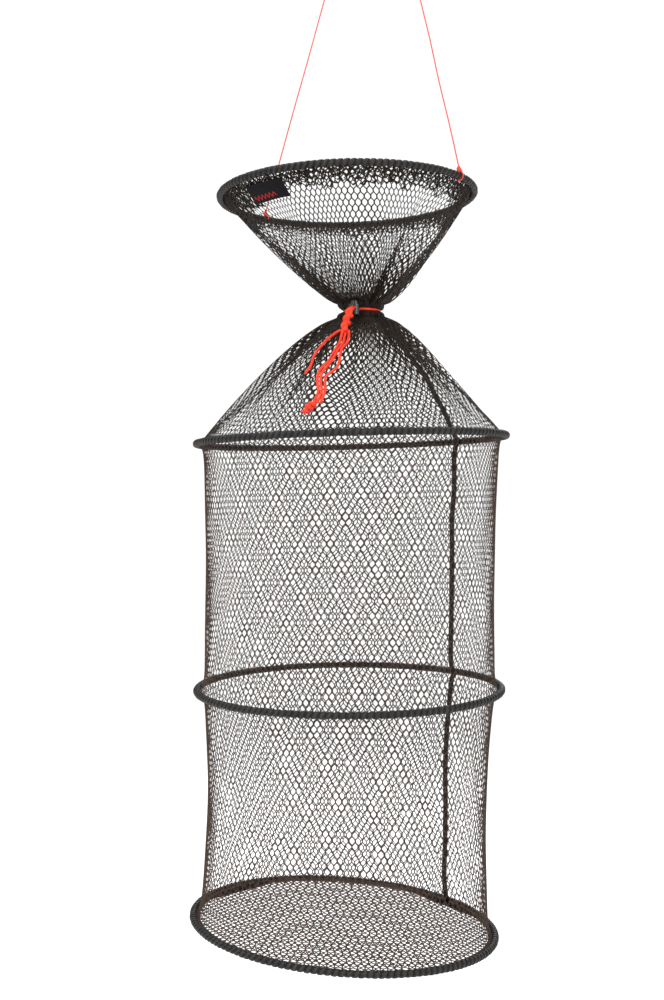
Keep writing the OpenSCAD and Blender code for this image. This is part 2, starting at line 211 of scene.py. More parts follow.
class Graph:
    """A node tree with short calls to add nodes and join them."""

    def __init__(self, tree: bpy.types.NodeTree) -> None:
        """Keeps the tree."""
        self.tree = tree

    def add(self, kind: str, inputs: dict | None = None, **settings: object) -> bpy.types.Node:
        """Adds a node.

        Args:
            kind: the node's type name.
            inputs: socket names or numbers with a value or another node's output.
            **settings: the node's own properties.

        Returns:
            The new node.
        """
        node = self.tree.nodes.new(kind)
        for key, value in settings.items():
            setattr(node, key, value)
        for key, value in (inputs or {}).items():
            if isinstance(value, bpy.types.NodeSocket):
                self.tree.links.new(value, node.inputs[key])
            else:
                node.inputs[key].default_value = value
        return node

    def math(self, operation: str, *values: object) -> bpy.types.NodeSocket:
        """The output of a Math node on the given values."""
        return self.add("ShaderNodeMath", dict(enumerate(values)), operation=operation).outputs[0]

    def mix(self, share: object, a: object, b: object) -> bpy.types.NodeSocket:
        """A colour that goes from a to b as share goes from 0 to 1."""
        node = self.add("ShaderNodeMix", {0: share, 6: a, 7: b}, data_type="RGBA")
        return node.outputs[2]


def new_group(name: str, inputs: dict[str, tuple[str, object]], outputs: dict[str, str]) -> tuple:
    """An empty node group with named sockets.

    Args:
        name: the group's name.
        inputs: socket names with their type and default value.
        outputs: socket names with their type.

    Returns:
        The group's tree, its Graph, its input node and its output node.
    """
    tree = bpy.data.node_groups.new(name, "ShaderNodeTree")
    for key, (kind, value) in inputs.items():
        socket = tree.interface.new_socket(key, in_out="INPUT", socket_type=kind)
        if value is not None:
            socket.default_value = value
    for key, kind in outputs.items():
        tree.interface.new_socket(key, in_out="OUTPUT", socket_type=kind)
    graph = Graph(tree)
    return tree, graph, graph.add("NodeGroupInput"), graph.add("NodeGroupOutput")


def fibre_group() -> bpy.types.NodeTree:
    """Fine hairs and uneven dye, as found on every twine and cord here."""
    tree, g, source, sink = new_group(
        "Fibre",
        {"Vector": ("NodeSocketVector", None), "Scale": ("NodeSocketFloat", 900.0)},
        {"Shade": "NodeSocketFloat", "Height": "NodeSocketFloat"},
    )
    vector, scale = source.outputs["Vector"], source.outputs["Scale"]
    fine = g.add("ShaderNodeTexNoise", {"Vector": vector, "Scale": scale, "Detail": 4.0, "Roughness": 0.6})
    broad = g.add("ShaderNodeTexNoise", {"Vector": vector, "Scale": DYE_SCALE, "Detail": 3.0})
    shade = g.math("MULTIPLY", fine.outputs[0], broad.outputs[0])
    g.tree.links.new(g.math("MULTIPLY", shade, DYE_GAIN), sink.inputs["Shade"])
    g.tree.links.new(fine.outputs[0], sink.inputs["Height"])
    return tree


def strands_group() -> bpy.types.NodeTree:
    """Rounded strands that run across a piece's own UV map, in one or two crossing sets."""
    tree, g, source, sink = new_group(
        "Strands",
        {
            "Vector": ("NodeSocketVector", None),
            "Along": ("NodeSocketFloat", 1.0),
            "Around": ("NodeSocketFloat", 1.0),
            "Crossed": ("NodeSocketFloat", 0.0),
        },
        {"Height": "NodeSocketFloat"},
    )
    parts = g.add("ShaderNodeSeparateXYZ", {0: source.outputs["Vector"]})
    along = g.math("MULTIPLY", parts.outputs[0], source.outputs["Along"])
    around = g.math("MULTIPLY", parts.outputs[1], source.outputs["Around"])
    one = g.math("ABSOLUTE", g.math("SINE", g.math("MULTIPLY", g.math("ADD", along, around), math.pi)))
    two = g.math("ABSOLUTE", g.math("SINE", g.math("MULTIPLY", g.math("SUBTRACT", along, around), math.pi)))
    both = g.math("MAXIMUM", one, g.math("MULTIPLY", two, source.outputs["Crossed"]))
    g.tree.links.new(both, sink.inputs["Height"])
    return tree


@dataclass(frozen=True)
class Finish:
    """One finish of the net, from its colours to its relief."""

    name: str
    dark: Colour
    light: Colour
    rough: tuple[float, float]
    pattern: Pattern = Pattern.FIBRE
    grain: float = 900.0
    relief: float = 0.25
    depth: float = 0.0002
    along: float = 1.0
    around: float = 1.0
    crossed: float = 0.0
    metallic: float = 0.0
    specular: float = 0.5
    coat: float = 0.0
    # How deep the painted shade in the creases between strands is, and how narrow the painted highlight on
    # their crests is.
    painted_crease_shade: float = 0.65
    painted_strand_shading: float = 1.0
    hair_relief: float = 0.25

    def build(self, groups: dict[str, bpy.types.NodeTree]) -> bpy.types.Material:
        """Makes the material.

        Args:
            groups: the shared node groups by name.

        Returns:
            The material, ready for a piece.
        """
        material = bpy.data.materials.new(self.name)
        material.use_nodes = True
        g = Graph(material.node_tree)
        shader = material.node_tree.nodes["Principled BSDF"]
        shader.inputs["Metallic"].default_value = self.metallic
        shader.inputs["Specular IOR Level"].default_value = self.specular
        shader.inputs["Coat Weight"].default_value = self.coat
        shader.inputs["Coat Roughness"].default_value = 0.08
        place = g.add("ShaderNodeTexCoord")
        fibre = g.add("ShaderNodeGroup", node_tree=groups["Fibre"])
        g.tree.links.new(place.outputs["Object"], fibre.inputs["Vector"])
        fibre.inputs["Scale"].default_value = self.grain
        shade, height = fibre.outputs["Shade"], fibre.outputs["Height"]
        if self.pattern in (Pattern.WRAP, Pattern.BRAID):
            strands = g.add("ShaderNodeGroup", node_tree=groups["Strands"])
            g.tree.links.new(place.outputs["UV"], strands.inputs["Vector"])
            strands.inputs["Along"].default_value = self.along
            strands.inputs["Around"].default_value = self.around
            strands.inputs["Crossed"].default_value = self.crossed
            ridge = strands.outputs["Height"]
            # Painted shade and highlight: the colour darkens in the creases between strands and lightens on
            # their crests.
            painted_strand_shading = g.math("POWER", ridge, self.painted_strand_shading)
            painted_strand_shading = g.math("MULTIPLY_ADD", painted_strand_shading, self.painted_crease_shade, 1.1 - self.painted_crease_shade)
            shade = g.math("MULTIPLY", shade, painted_strand_shading)
            height = g.math("MULTIPLY_ADD", height, self.hair_relief, ridge)
        colour = g.mix(shade, (*self.dark, 1), (*self.light, 1))
        if self.pattern is Pattern.LABEL:
            colour, height = self.woven_label(g, place.outputs["UV"], colour, height)
        g.tree.links.new(colour, shader.inputs["Base Color"])
        low, high = self.rough
        g.tree.links.new(g.math("MULTIPLY_ADD", shade, high - low, low), shader.inputs["Roughness"])
        bump = g.add("ShaderNodeBump", {"Height": height, "Strength": self.relief, "Distance": self.depth})
        g.tree.links.new(bump.outputs["Normal"], shader.inputs["Normal"])
        return material

    def woven_label(self, g: Graph, uv: bpy.types.NodeSocket, ground: object, height: object) -> tuple:
        """Adds a plain zigzag line to a woven label.

        Args:
            g: the material's graph.
            uv: the label's UV map, 0 to 1 across and down.
            ground: the colour of the ground weave.
            height: the height of the ground weave.

        Returns:
            The colour and the height with the line woven in.
        """
        points, swing, foot, half_line, ends = 9.0, 0.42, 0.62, 0.055, (0.08, 0.72)
        threads, weave_relief, red = (260.0, 130.0), 1.2, (0.33, 0.014, 0.016, 1)
        parts = g.add("ShaderNodeSeparateXYZ", {0: uv})
        across, down = parts.outputs[0], parts.outputs[1]
        wave = g.math("PINGPONG", g.math("MULTIPLY", across, points), 0.5)
        centre = g.math("MULTIPLY_ADD", wave, swing, foot)
        line = g.math("LESS_THAN", g.math("ABSOLUTE", g.math("SUBTRACT", down, centre)), half_line)
        inside = g.math("MULTIPLY", g.math("GREATER_THAN", across, ends[0]),
                        g.math("LESS_THAN", across, ends[1]))
        marks = g.math("MULTIPLY", line, inside)
        warp, weft = (g.math("ABSOLUTE", g.math("SINE", g.math("MULTIPLY", way, count)))
                      for way, count in zip((across, down), threads))
        weave = g.math("MULTIPLY", warp, weft)
        return g.mix(marks, ground, red), g.math("ADD", height, g.math("MULTIPLY", weave, weave_relief))


class Finishes:
    """Every finish of the net, made once."""

    TABLE = (
        Finish("netting", (0.003, 0.0025, 0.002), (0.030, 0.021, 0.015), (0.5, 0.75), grain=1500.0,
               specular=0.2),
        # Painted backlight: a lighter, browner copy of the netting, standing in for light shining through the
        # thin twine of the walls and the floor.
        Finish("backlit_netting", (0.010, 0.007, 0.005), (0.078, 0.046, 0.032), (0.5, 0.75), grain=1500.0,
               specular=0.2),
        # The lashing's colour carries deep painted shade in the creases between its ridges and narrow painted
        # highlights on their crests.
        Finish("lashing", (0.001, 0.001, 0.001), (0.038, 0.034, 0.031), (0.38, 0.6), Pattern.WRAP,
               grain=2200.0, relief=0.5, depth=0.0006, along=1.0, around=0.0, specular=0.22, painted_crease_shade=1.05,
               painted_strand_shading=2.4),
        Finish("gather", (0.003, 0.0025, 0.002), (0.026, 0.019, 0.014), (0.5, 0.75), grain=700.0, relief=0.7,
               depth=0.0008, specular=0.2),
        # The cords' colour carries a milder painted shade between the strands of their braid.
        Finish("drawstring", (0.62, 0.012, 0.006), (1.0, 0.075, 0.03), (0.45, 0.65), Pattern.BRAID,
               grain=2500.0, relief=0.6, depth=0.0004, along=320.0, around=4.0, crossed=1.0, specular=0.25),
        Finish("line", (0.5, 0.02, 0.015), (0.95, 0.09, 0.06), (0.4, 0.6), Pattern.BRAID, grain=3000.0,
               relief=0.5, depth=0.0002, along=420.0, around=2.0),
        Finish("label", (0.002, 0.002, 0.003), (0.009, 0.008, 0.010), (0.6, 0.8), Pattern.LABEL,
               grain=1800.0, relief=0.5, depth=0.0003, specular=0.1),
        Finish("cord_lock", (0.008, 0.008, 0.009), (0.018, 0.018, 0.02), (0.16, 0.3), Pattern.PLAIN,
               grain=300.0, relief=0.05, coat=0.5),
        Finish("wire", (0.42, 0.43, 0.44), (0.62, 0.62, 0.62), (0.25, 0.45), Pattern.PLAIN, grain=600.0,
               relief=0.1, metallic=1.0),
        Finish("ferrule", (0.55, 0.56, 0.57), (0.8, 0.8, 0.8), (0.3, 0.5), Pattern.PLAIN, grain=500.0,
               relief=0.15, metallic=1.0),
        Finish("sleeve", (0.015, 0.015, 0.016), (0.04, 0.04, 0.04), (0.4, 0.55), Pattern.PLAIN, grain=200.0,
               relief=0.1),
        Finish("spring", (0.6, 0.6, 0.6), (0.75, 0.75, 0.74), (0.2, 0.35), Pattern.PLAIN, grain=900.0,
               relief=0.05, metallic=1.0),
        Finish("floor", (0.88, 0.88, 0.88), (0.92, 0.92, 0.92), (0.8, 0.9), Pattern.PLAIN, grain=40.0,
               relief=0.02, specular=0.1),
    )

    def __init__(self) -> None:
        """Makes the node groups and the materials."""
        groups = {"Fibre": fibre_group(), "Strands": strands_group()}
        self.made = {finish.name: finish.build(groups) for finish in self.TABLE}

    def dress(self, piece: bpy.types.Object, name: str) -> bpy.types.Object:
        """Gives a piece one finish in place of any it had."""
        piece.data.materials.clear()
        piece.data.materials.append(self.made[name])
        return piece


# ---------------------------------------------------------------- cords and knots


def smooth_route(points: Sequence[Vector], step: float, closed: bool = False) -> Array:
    """A smooth curve through a cord's chosen points.

    Args:
        points: the points that the cord passes, in metres.
        step: the distance between the curve's own points.
        closed: whether the curve runs back to its start.

    Returns:
        The curve's points, as rows of x, y and z.
    """
    p = np.array([list(q) for q in points])
    if closed:
        p = np.vstack([p[-1], p, p[0], p[1]])
    else:
        p = np.vstack([2 * p[0] - p[1], p, 2 * p[-1] - p[-2]])
    rows = []
    for a, b, c, d in zip(p, p[1:], p[2:], p[3:]):
        count = max(2, round(float(np.linalg.norm(c - b)) / step))
        for t in np.arange(count) / count:
            rows.append(0.5 * (2 * b + (c - a) * t + (2 * a - 5 * b + 4 * c - d) * t**2
                               + (3 * b - a - 3 * c + d) * t**3))
    if not closed:
        rows.append(p[-2])
    return np.array(rows)


def route_length(route: Array) -> float:
    """The length of a route, in metres."""
    return float(np.linalg.norm(np.diff(route, axis=0), axis=1).sum())


def carried_frames(route: Array, closed: bool) -> tuple[Array, Array]:
    """Two directions square to a route at each of its points, carried along without twist.

    Args:
        route: the route's points.
        closed: whether the route runs back to its start.

    Returns:
        The first and the second direction, a row for each point.
    """
    if closed:
        ahead = np.roll(route, -1, 0) - np.roll(route, 1, 0)
    else:
        ahead = np.gradient(route, axis=0)
    ahead /= np.linalg.norm(ahead, axis=1)[:, None]
    start = np.cross(ahead[0], [0.0, 0.0, 1.0] if abs(ahead[0][2]) < 0.9 else [1.0, 0.0, 0.0])
    sides = [start / np.linalg.norm(start)]
    for d in ahead[1:]:
        side = sides[-1] - d * np.dot(sides[-1], d)
        sides.append(side / np.linalg.norm(side))
    side = np.array(sides)
    if closed:
        last = side[-1] - ahead[0] * np.dot(side[-1], ahead[0])
        turned = math.atan2(np.dot(np.cross(last, side[0]), ahead[0]), np.dot(last, side[0]))
        share = (np.arange(len(route)) / len(route) * turned)[:, None]
        side = side * np.cos(share) + np.cross(ahead, side) * np.sin(share)
    return side, np.cross(ahead, side)


def sweep(name: str, route: Array, radius: float | Array, sides: int = 10,
          closed: bool = False) -> bpy.types.Object:
    """A cord of round section along a route, with rounded ends and a UV map in metres and turns.

    Args:
        name: the piece's name.
        route: the centreline's points.
        radius: one radius, or one for each point.
        sides: how many sides the section has.
        closed: whether the cord is an endless loop.

    Returns:
        The new object.
    """
    radii = np.broadcast_to(np.asarray(radius, float), (len(route),)).copy()
    if not closed:
        ahead, back = route[0] - route[1], route[-1] - route[-2]
        ahead, back = ahead / np.linalg.norm(ahead), back / np.linalg.norm(back)
        start_rows = [route[0] + ahead * radii[0] * d for d, _ in ROUND_END[::-1]]
        end_rows = [route[-1] + back * radii[-1] * d for d, _ in ROUND_END]
        route = np.vstack([start_rows, route, end_rows])
        radii = np.concatenate([[radii[0] * s * END_TAPER for _, s in ROUND_END[::-1]], radii,
                                [radii[-1] * s * END_TAPER for _, s in ROUND_END]])
    side, other = carried_frames(route, closed)
    bm, first, last = stacked_rings(sides, len(route))
    if closed:
        bmesh.ops.bridge_loops(bm, edges=first + last)
    else:
        cap_ends(bm, first, last)
    along = np.concatenate([[0.0], np.cumsum(np.linalg.norm(np.diff(route, axis=0), axis=1))])
    layer = bm.loops.layers.uv.new("UVMap")
    for face in bm.faces:
        base = math.atan2(face.loops[0].vert.co.y, face.loops[0].vert.co.x) / TURN
        for loop in face.loops:
            turn = math.atan2(loop.vert.co.y, loop.vert.co.x) / TURN
            turn -= round(turn - base)
            loop[layer].uv = (along[round(loop.vert.co.z)], turn)
    piece = as_object(bm, name)
    p = read_points(piece.data)
    level = np.round(p[:, 2]).astype(int)
    r = radii[level][:, None]
    write_points(piece.data, route[level] + r * p[:, :1] * side[level] + r * p[:, 1:2] * other[level])
    face_outwards(piece)
    return piece


@dataclass
class WrappedKnot:
    """A knot whose cord is wound several times round its own core."""

    start: Vector
    end: Vector
    radius: float
    cord_r: float
    turns: float = 3.5
    steps: int = 14
    taper: float = 0.18
    wobble: float = 0.35
    core_over: float = 0.55
    core_apart: float = 0.6
    core_r: float = 0.85

    def build(self, name: str) -> bpy.types.Object:
        """Makes the windings and the strands that run through them."""
        axis = np.array(self.end - self.start)
        length = float(np.linalg.norm(axis))
        axis /= length
        side = np.cross(axis, [0.3, 0.8, 0.5])
        side /= np.linalg.norm(side)
        other = np.cross(axis, side)
        wind_r = self.radius - self.cord_r
        t = np.linspace(0, 1, round(self.turns * self.steps))
        a = t * self.turns * TURN
        swell = wind_r * (1 - self.taper + self.taper * np.sin(math.pi * t))
        lean = self.wobble * self.cord_r * np.sin(a + 0.6)
        line = (np.array(self.start)[None] + axis[None] * (t * length + lean)[:, None]
                + side[None] * (swell * np.cos(a))[:, None] + other[None] * (swell * np.sin(a))[:, None])
        parts = [sweep(name + "_wind", line, self.cord_r, 8)]
        over = self.radius * self.core_over
        for sign in (-1, 1):
            s = np.linspace(-over, length + over, 9)
            shift = sign * self.cord_r * self.core_apart * np.cos(s / (length + over) * 3.0)
            core = np.array(self.start)[None] + axis[None] * s[:, None] + side[None] * shift[:, None]
            parts.append(sweep(name + "_core", core, self.cord_r * self.core_r, 8))
        return join(name, parts)


# ---------------------------------------------------------------- hoops and netting


@dataclass
class Hoop:
    """The plane, centre and centreline radius of one hoop."""

    centre: Array
    across: Array
    depth: Array
    radius: float

    @classmethod
    def from_wire(cls, node: str) -> "Hoop":
        """Measures a hoop on its CAD wire."""
        p = read_points(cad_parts[node].data)
        middle = p.mean(0)
        normal = np.linalg.svd(p - middle, full_matrices=False)[2][2]
        normal *= math.copysign(1.0, normal[2])
        tilt, pitch = math.atan2(normal[0], normal[2]), -math.asin(normal[1])
        across = np.array([math.cos(tilt), 0.0, -math.sin(tilt)])
        rise = math.sin(pitch)
        depth = np.array([rise * math.sin(tilt), math.cos(pitch), rise * math.cos(tilt)])
        x, y = (p - middle) @ across, (p - middle) @ depth
        fit = np.linalg.lstsq(np.column_stack([2 * x, 2 * y, np.ones_like(x)]), x * x + y * y, rcond=None)[0]
        radius = math.sqrt(fit[2] + fit[0] ** 2 + fit[1] ** 2)
        return cls(middle + across * fit[0] + depth * fit[1], across, depth, radius)

    @classmethod
    def level(cls, centre: Sequence[float], radius: float) -> "Hoop":
        """A level circle, such as the neck where the drawstring ties it."""
        return cls(np.array(list(centre)), np.array([1.0, 0.0, 0.0]), np.array([0.0, 1.0, 0.0]), radius)

    @property
    def up(self) -> Array:
        """The hoop's axis, pointing up."""
        return np.cross(self.across, self.depth)

    def point(self, radius: Array, angle: Array, rise: Array = 0.0) -> Array:
        """Points at a radius, angle and height in the hoop's own frame."""
        radius, angle, rise = np.broadcast_arrays(radius, angle, rise)
        return (self.centre + (radius * np.cos(angle))[..., None] * self.across
                + (radius * np.sin(angle))[..., None] * self.depth + rise[..., None] * self.up)


@dataclass
class Netting:
    """Knotless netting: staggered six-sided meshes with a short thick joint at each side."""

    columns: int = 134
    mesh_w: float = 6.6 * MM
    twine: float = 0.95 * MM
    flatness: float = 0.75
    joint: float = 2.5 * MM
    joint_swell: float = 1.3
    joint_half_w: float = 0.8 * MM
    joint_end: float = 0.7 * MM

    def tube(self, name: str, rows: int, row_h: float) -> bpy.types.Object:
        """Makes a straight tube of netting, hanging down from the origin's plane.

        Args:
            name: the piece's name.
            rows: how many rows of meshes there are.
            row_h: the height of a row.

        Returns:
            The tube, whose radius is that of its own circumference.
        """
        bm = bmesh.new()
        bmesh.ops.create_circle(bm, segments=2 * self.columns, radius=self.drum)
        edges = bm.edges[:]
        for _ in range(rows):
            made = bmesh.ops.extrude_edge_only(bm, edges=edges)["geom"]
            edges = new_edges(made)
            bmesh.ops.translate(bm, verts=new_verts(made), vec=(0, 0, -row_h))
        place = {v: (self.column(v.co.x, v.co.y), round(-v.co.z / row_h)) for v in bm.verts}
        self.open_meshes(bm, place)
        for vert in bm.verts:
            vert.co.z += self.stagger(*place[vert], row_h)
        return self.strands(bm, name)

    @staticmethod
    def open_meshes(bm: bmesh.types.BMesh, place: dict) -> None:
        """Dissolves every second upright of a grid, which leaves staggered meshes.

        Args:
            bm: the grid.
            place: the half column and the row that each vertex stands on.
        """
        spare = []
        for edge in bm.edges:
            (column, row), (beside, below) = (place[v] for v in edge.verts)
            if column == beside and (column + min(row, below)) % 2:
                spare.append(edge)
        bmesh.ops.dissolve_edges(bm, edges=spare, use_verts=False, use_face_split=False)

    def stagger(self, column: int, row: int, row_h: float) -> float:
        """How far a crossing of the grid moves along its column, so that a joint is short."""
        reach = (row_h - self.joint) / 2
        return reach if (column + row) % 2 else -reach

    @property
    def drum(self) -> float:
        """The radius of a tube of this netting that is neither stretched nor gathered."""
        return self.columns * self.mesh_w / TURN

    def column(self, x: float, y: float) -> int:
        """The half column that a point of the tube stands on."""
        return round(math.atan2(y, x) / TURN * 2 * self.columns) % (2 * self.columns)

    def strands(self, bm: bmesh.types.BMesh, name: str) -> bpy.types.Object:
        """Turns the edges of a pattern into strands of twine."""
        bm.normal_update()
        bmesh.ops.wireframe(bm, faces=bm.faces[:], thickness=self.twine, offset=0.0, use_replace=True,
                            use_boundary=True, use_even_offset=True, use_crease=False, crease_weight=0.0,
                            use_relative_offset=False, material_offset=0)
        return as_object(bm, name)

    def swell_joints(self, u: Array, v: Array, row_h: float) -> Array:
        """Widens the joints of a pattern.

        Args:
            u: each vertex's place across, in metres.
            v: each vertex's place down from the first row, in metres.
            row_h: the height of a row.

        Returns:
            The new places across.
        """
        half = self.mesh_w / 2
        row = np.floor(v / row_h)
        odd = row % 2
        axis = (odd + 2 * np.round((u / half - odd) / 2)) * half
        beside, beyond = u - axis, np.abs(v - (row + 0.5) * row_h)
        near = (np.abs(beside) < self.joint_half_w) & (beyond < self.joint / 2 + self.joint_end)
        return np.where(near, axis + beside * self.joint_swell, u)

    def hang(self, piece: bpy.types.Object, rows: int, row_h: float,
             surface: Callable[[Array, Array, Array], Array],
             widen: Callable[[Array, Array], Array] | None = None) -> bpy.types.Object:
        """Bends a straight tube of netting to the shape that it hangs in.

        Args:
            piece: the straight tube.
            rows: how many rows it has.
            row_h: the height of a row.
            surface: gives points from an angle, a share of the way down and a distance outwards.
            widen: gives how much the strands outgrow their meshes, from an angle and a share of the way down.

        Returns:
            The same object.
        """
        p = read_points(piece.data)
        angle = np.arctan2(p[:, 1], p[:, 0]) % TURN
        out = (np.hypot(p[:, 0], p[:, 1]) - self.drum) * self.flatness
        down = -p[:, 2]
        share = down / (rows * row_h)
        across = self.swell_joints(angle * self.drum, down, row_h)
        if widen:
            column = np.round(across / (self.mesh_w / 2)) * self.mesh_w / 2
            across = column + (across - column) * widen(angle, np.clip(share, 0, 1))
        angle = across / self.drum
        write_points(piece.data, surface(angle, share, out))
        return piece


def ripple(angle: Array, share: Array, seed: int, size: float, waves: Sequence[tuple[int, float]]) -> Array:
    """An uneven, endless wave over a section of netting.

    Args:
        angle: the angle round the section.
        share: the share of the way down.
        seed: chooses the phases.
        size: the height of the waves together.
        waves: how many times each wave repeats round the section and down it.

    Returns:
        The displacement at each place.
    """
    chance = np.random.default_rng(seed)
    total = np.zeros_like(angle)
    for around, down in waves:
        weight = chance.uniform(0.6, 1.0)
        total += weight * np.sin(around * angle + down * TURN * share + chance.uniform(0, TURN))
    return size * total / len(waves)


@dataclass
class Wall:
    """A tube section of netting between two hoops, drawn in at its waist."""

    top: Hoop
    foot: Hoop
    top_r: float
    foot_r: float
    waist: float
    seed: int
    step: float = 4 * MM
    reach: float = 6 * MM
    mean_r: float = 145 * MM
    bulge: float = 1.1 * MM
    drift: float = 1.6 * MM
    droop: float = 1.3 * MM

    def surface(self, angle: Array, share: Array, out: Array) -> Array:
        """Points of the section, from angle, share of the way down and distance outwards."""
        t = np.clip(share, 0, 1)
        high = abs(self.top.centre[2] - self.foot.centre[2])
        edge = np.minimum(t, 1 - t) * high
        radius = (1 - t) * self.top_r + t * self.foot_r - self.step * (1 - np.exp(-edge / self.reach))
        radius -= self.waist * np.sin(math.pi * t)
        free = np.sin(math.pi * t) ** 0.5
        radius += free * ripple(angle, t, self.seed, self.bulge, ((3, 1.0), (7, 0.7), (12, 2.2), (19, 1.3)))
        shift = free * ripple(angle, t, self.seed + 1, self.drift, ((2, 1.4), (5, 2.1), (9, 3.2), (23, 4.1)))
        t = t + free * ripple(angle, t, self.seed + 2, self.droop / high, ((3, 1.2), (8, 2.3), (17, 3.1)))
        a = angle + shift / self.mean_r
        radius = radius + out
        t = t[:, None]
        return (1 - t) * self.top.point(radius, a) + t * self.foot.point(radius, a)


@dataclass
class Cone:
    """A section of netting from a hoop to the neck, which the drawstring gathers into pleats."""

    hoop: Hoop
    tie: Hoop
    hoop_r: float
    neck_r: float
    waist_r: float
    neck_h: float
    seed: int
    swell: float = 0.7
    flare: float = 10 * MM
    pleat: float = 6.5 * MM
    pleats: tuple[tuple[int, float], ...] = ((7, 0.0), (12, 0.0), (17, 0.0), (26, 0.0))
    cord_side: float = -112.0
    gathers: tuple[tuple[float, float], ...] = ()
    spread: float = 20.0
    slip: float = 0.9 * MM
    least_r: float = 20 * MM
    least_pleat: float = 1.2 * MM
    tied: float = 7 * MM
    bunching: float = 0.16

    @property
    def high(self) -> float:
        """The height from the hoop to the tie."""
        return abs(self.hoop.centre[2] - self.tie.centre[2])

    def radius(self, share: Array) -> Array:
        """The mean radius at a share of the way from the hoop to the tie."""
        knee = 1 - self.neck_h / 2 / self.high
        above = np.clip(1 - share / knee, 0, 1) ** self.swell
        pinch = smooth_share((share - knee) / (1 - knee))
        return self.neck_r + (self.hoop_r - self.neck_r) * above + (self.waist_r - self.neck_r) * pinch

    def drawn(self, angle: Array) -> Array:
        """How far the netting is drawn sideways into its gathers."""
        pull = np.zeros_like(angle)
        for place, strength in self.gathers:
            away = (angle - math.radians(place) + math.pi) % TURN - math.pi
            pull -= strength * away * np.exp(-0.5 * (away / math.radians(self.spread)) ** 2)
        return pull

    def widen(self, angle: Array, share: Array) -> Array:
        """How much the twine outgrows its meshes where they are drawn together."""
        return np.clip(self.hoop_r / self.radius(share), 1.0, 4.5)

    def beside_cords(self, angle: Array) -> Array:
        """1 where the cord's tails lie on the netting, falling to 0 on the other sides."""
        away = np.abs((angle - math.radians(self.cord_side) + math.pi) % TURN - math.pi)
        return 1 - smooth_share((away - 0.35) / 0.6)

    def surface(self, angle: Array, share: Array, out: Array) -> Array:
        """Points of the section, from angle, share of the way from hoop to tie and distance outwards."""
        t = np.clip(share, 0, 1)
        left = (1 - t) * self.high
        free = 1 - 0.8 * self.beside_cords(angle)
        gather = smooth_share(t * 1.25)
        loose = 1 - np.exp(-left / self.tied)
        depth = loose * (self.least_pleat + gather * self.pleat) * smooth_share(t * 4) * free
        fold = ripple(angle, 0.2 * t, self.seed, 2.1, self.pleats) - 1.1
        bunch = ripple(angle, 0.25 * t, self.seed + 3, 1.0, ((4, 0.0), (7, 0.0), (11, 0.0)))
        flare = self.flare * np.exp(-left / (15 * MM)) * (1 - np.exp(-left / (2 * MM)))
        radius = self.radius(t) + depth * fold + flare * free
        slack = ripple(angle, t, self.seed + 5, 1.0, ((6, 1.5), (13, 2.5)))
        tug = (smooth_share(t * 1.8) * self.drawn(angle) + (0.04 + 0.96 * gather) * self.bunching * bunch
               + self.slip / np.maximum(radius, self.least_r) * slack)
        radius = radius + out * (0.6 + 0.4 * np.clip(left / (30 * MM), 0, 1))
        t = t[:, None]
        a = angle + tug * smooth_share(share * 5)
        return (1 - t) * self.hoop.point(radius, a) + t * self.tie.point(radius, a)


@dataclass
class HemFold:
    """One fold of the hem inside the top of the funnel, deeper at the mouth's two sides."""

    funnel: Cone
    layer: int
    inset: float
    deep: float
    turn: float
    ruffle: float = 1.6 * MM
    slip: float = 0.03
    side_depth: float = 1.1
    side_twine: float = 1.2

    @staticmethod
    def beside(angle: Array) -> Array:
        """1 at the mouth's two sides and nearly 0 between them."""
        return np.abs(np.cos(angle)) ** 10

    def widen(self, angle: Array, share: Array) -> Array:
        """How much the twine outgrows its meshes where the fold is bunched."""
        return 1 + self.side_twine * self.beside(angle)

    def surface(self, angle: Array, share: Array, out: Array) -> Array:
        """Points of the fold, from angle, share of the way down and distance outwards."""
        side = self.beside(angle)
        ruffle = (1 + side) * ripple(angle, share, 90 + self.layer, self.ruffle,
                                     ((31, 0.5), (47, 1.1), (68, 0.7)))
        slip = ripple(angle, share, 95 + self.layer, self.slip, ((21, 0.6), (43, 1.2)))
        uneven = 0.25 * ripple(angle, 0 * share, 99 + self.layer, 1.0, ((17, 0.0), (29, 0.0)))
        lift = uneven + self.side_depth * side
        down = share * (1 + lift) * self.deep * (0.55 + 0.25 * self.layer)
        away = out - self.inset * (0.4 + 0.6 * share) + ruffle * share
        return self.funnel.surface(angle + self.turn + slip, down, away)


